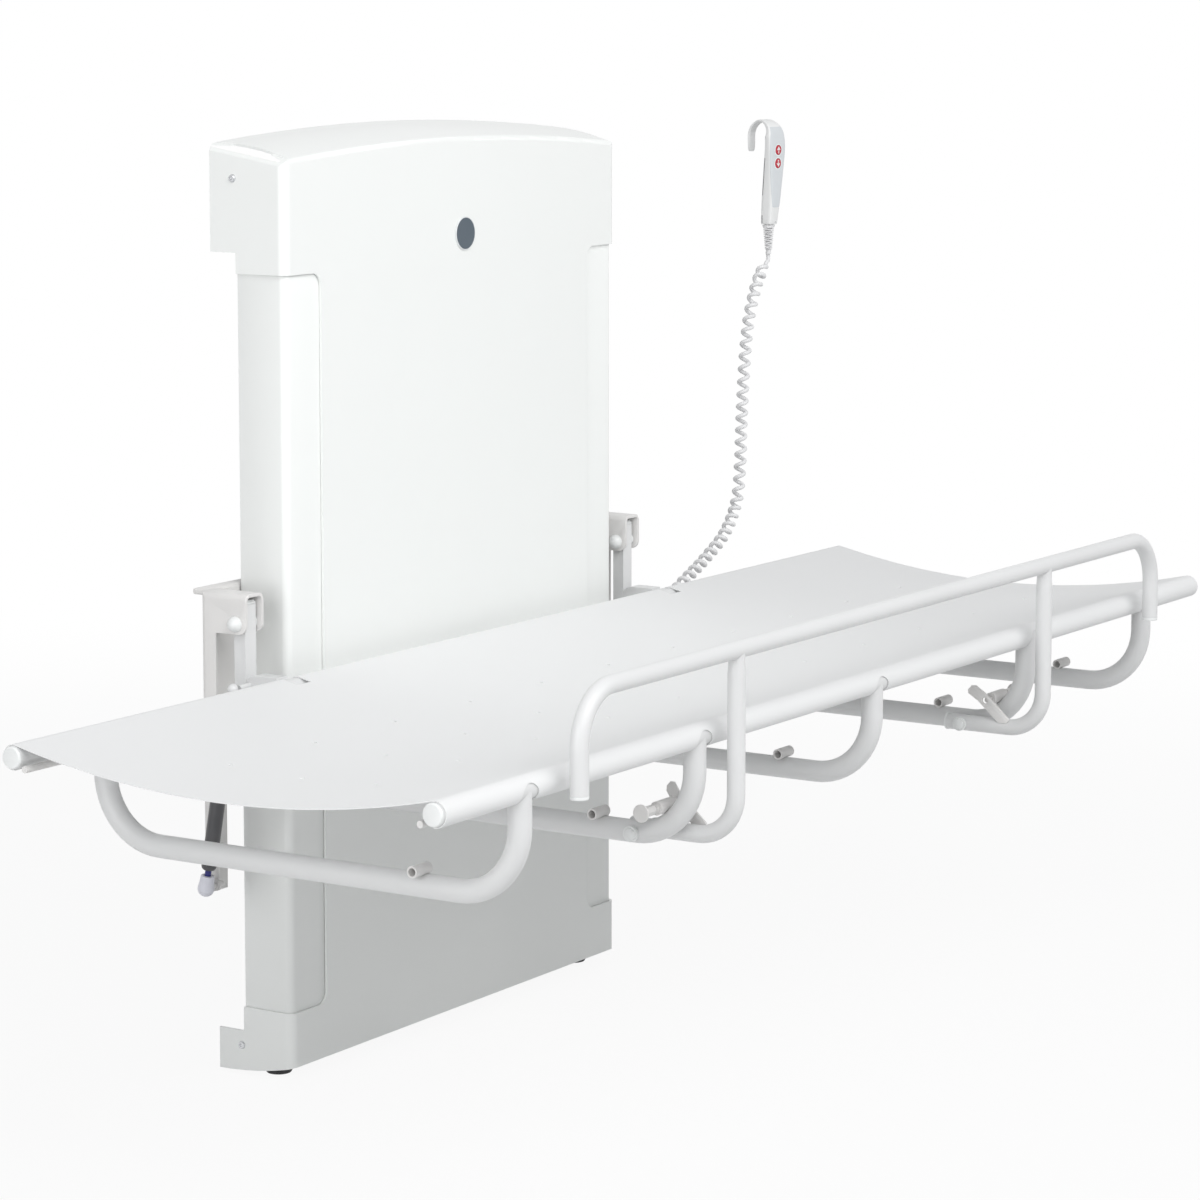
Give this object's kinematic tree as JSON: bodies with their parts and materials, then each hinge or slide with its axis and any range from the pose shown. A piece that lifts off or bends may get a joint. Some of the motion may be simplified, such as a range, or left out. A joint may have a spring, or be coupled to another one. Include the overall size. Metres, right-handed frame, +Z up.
{
  "type": "shower changing table",
  "caption": "Wall-mounted shower changing table: powered lift column, fold-up tube frame with slung drained mat, swing-down guard rail and corded handset.",
  "frame": {"origin": "On the wall plane, at the middle of the four wall bolts: mid-width of the column and 600 mm above the floor.", "axes": "+X to the right along the wall seen from the room, +Z up, the room and the table are on the -Y side; table down and level, guard rail up, lift in mid range."},
  "size_m": [1.9, 0.7832, 1.1949],
  "materials": {
    "cover_white": "satin",
    "tube_white": "powder coated, satin",
    "warm_grey": "powder coated, satin",
    "cap_white": "satin",
    "zinc": "zinc plated",
    "screw_steel": "bright",
    "mat_fabric": "coated mesh, matt",
    "foot_rubber": "matt",
    "motor_black": "matt",
    "box_grey": "matt",
    "bronze": "machined",
    "badge_slate": "matt",
    "badge_rim": "satin",
    "cord_white": "smooth",
    "handset_white": "fine grain",
    "overlay_grey": "film",
    "button_red": "smooth",
    "gas_grey": "satin",
    "gas_rod_navy": "satin"
  },
  "bodies": {
    "column": {"guide_profiles": "zinc", "base_frame": "zinc", "top_frame": "zinc", "wall_plates": "zinc", "column_cover": "cover_white", "side_panel_left": "cover_white", "side_panel_right": "cover_white", "badge_disc": "badge_slate", "badge_ring": "badge_rim", "cover_screws": "screw_steel", "levelling_feet": "foot_rubber", "gear_motor": "motor_black", "lifting_screw": "screw_steel", "screw_bearings": "motor_black", "control_box": "box_grey", "cable_bracket": "zinc", "cord_gland": "box_grey", "cord": "cord_white", "handset_body": "handset_white", "handset_overlay": "overlay_grey", "strain_relief": "cord_white"},
    "carriage": {"carriage_beam": "warm_grey", "carriage_bridge": "zinc", "glide_blocks": "motor_black", "lift_nut": "bronze", "hanger_left": "warm_grey", "hanger_right": "warm_grey", "hinge_pins": "screw_steel", "pin_caps": "cap_white", "lower_studs": "screw_steel"},
    "table": {"hinge_arms": "tube_white", "arm_caps": "cap_white", "hinge_bushes": "cap_white", "back_tube": "tube_white", "front_tube": "tube_white", "tube_plugs": "cap_white", "cross_tubes": "tube_white", "stub_tubes": "warm_grey", "hold_down_rods": "warm_grey", "mat": "mat_fabric", "latch_sleeves": "warm_grey", "rail_bolts": "screw_steel", "bolt_caps": "cap_white", "upper_studs": "screw_steel", "latch_spring_left": "screw_steel", "latch_spring_right": "screw_steel"},
    "guard_rail": {"rail_bar": "tube_white", "rail_legs": "tube_white", "rail_end_caps": "cap_white", "leg_plugs": "cap_white", "catch_plates": "warm_grey"},
    "latch_plunger_left": {"plunger_left": "warm_grey"},
    "latch_plunger_right": {"plunger_right": "warm_grey"},
    "gas_spring_rod_left": {"gas_rod_left": "gas_rod_navy"},
    "gas_spring_rod_right": {"gas_rod_right": "gas_rod_navy"},
    "gas_spring_cylinder_left": {"gas_cylinder_left": "gas_grey"},
    "gas_spring_cylinder_right": {"gas_cylinder_right": "gas_grey"},
    "up_button": {"button_up": "button_red"},
    "down_button": {"button_down": "button_red"}
  },
  "joints": [
    {"name": "lift", "type": "slide", "parent": "column", "child": "carriage", "axis": [0, 0, 1], "range_m": [-0.19, 0.4]},
    {"name": "fold", "type": "hinge", "parent": "carriage", "child": "table", "pos_m": [0, -0.092, -0.007], "axis": [-1, 0, 0], "range_deg": [0, 90]},
    {"name": "rail_swing", "type": "hinge", "parent": "table", "child": "guard_rail", "pos_m": [0, -0.656, -0.206], "axis": [1, 0, 0], "range_deg": [0, 235]},
    {"name": "plunger_pull_left", "type": "slide", "parent": "table", "child": "latch_plunger_left", "axis": [-1, 0, 0], "range_m": [0, 0.01], "stiffness_N_per_m": 500, "springref_m": -0.01, "deforming": ["latch_spring_left"]},
    {"name": "plunger_pull_right", "type": "slide", "parent": "table", "child": "latch_plunger_right", "axis": [1, 0, 0], "range_m": [0, 0.01], "stiffness_N_per_m": 500, "springref_m": -0.01, "deforming": ["latch_spring_right"]},
    {"name": "gas_tilt_left", "type": "hinge", "parent": "carriage", "child": "gas_spring_rod_left", "pos_m": [-0.478, -0.06, -0.337], "axis": [1, 0, 0], "range_deg": [0, 6.4]},
    {"name": "gas_tilt_right", "type": "hinge", "parent": "carriage", "child": "gas_spring_rod_right", "pos_m": [0.478, -0.06, -0.337], "axis": [1, 0, 0], "range_deg": [0, 6.4]},
    {"name": "gas_stroke_left", "type": "slide", "parent": "gas_spring_rod_left", "child": "gas_spring_cylinder_left", "axis": [0, -0.1761, 0.9844], "range_m": [0, 0.096]},
    {"name": "gas_stroke_right", "type": "slide", "parent": "gas_spring_rod_right", "child": "gas_spring_cylinder_right", "axis": [0, -0.1761, 0.9844], "range_m": [0, 0.096]},
    {"name": "press_up", "type": "slide", "parent": "column", "child": "up_button", "axis": [0, 1, 0], "range_m": [0, 0.001], "stiffness_N_per_m": 800, "springref_m": -0.001},
    {"name": "press_down", "type": "slide", "parent": "column", "child": "down_button", "axis": [0, 1, 0], "range_m": [0, 0.001], "stiffness_N_per_m": 800, "springref_m": -0.001}
  ],
  "couplings": [
    {"joint": "gas_tilt_left", "follows": "fold", "ratio": 0.07059},
    {"joint": "gas_tilt_right", "follows": "fold", "ratio": 0.07059},
    {"joint": "gas_stroke_left", "follows": "fold", "m_per_rad": 0.060579},
    {"joint": "gas_stroke_right", "follows": "fold", "m_per_rad": 0.060579}
  ]
}
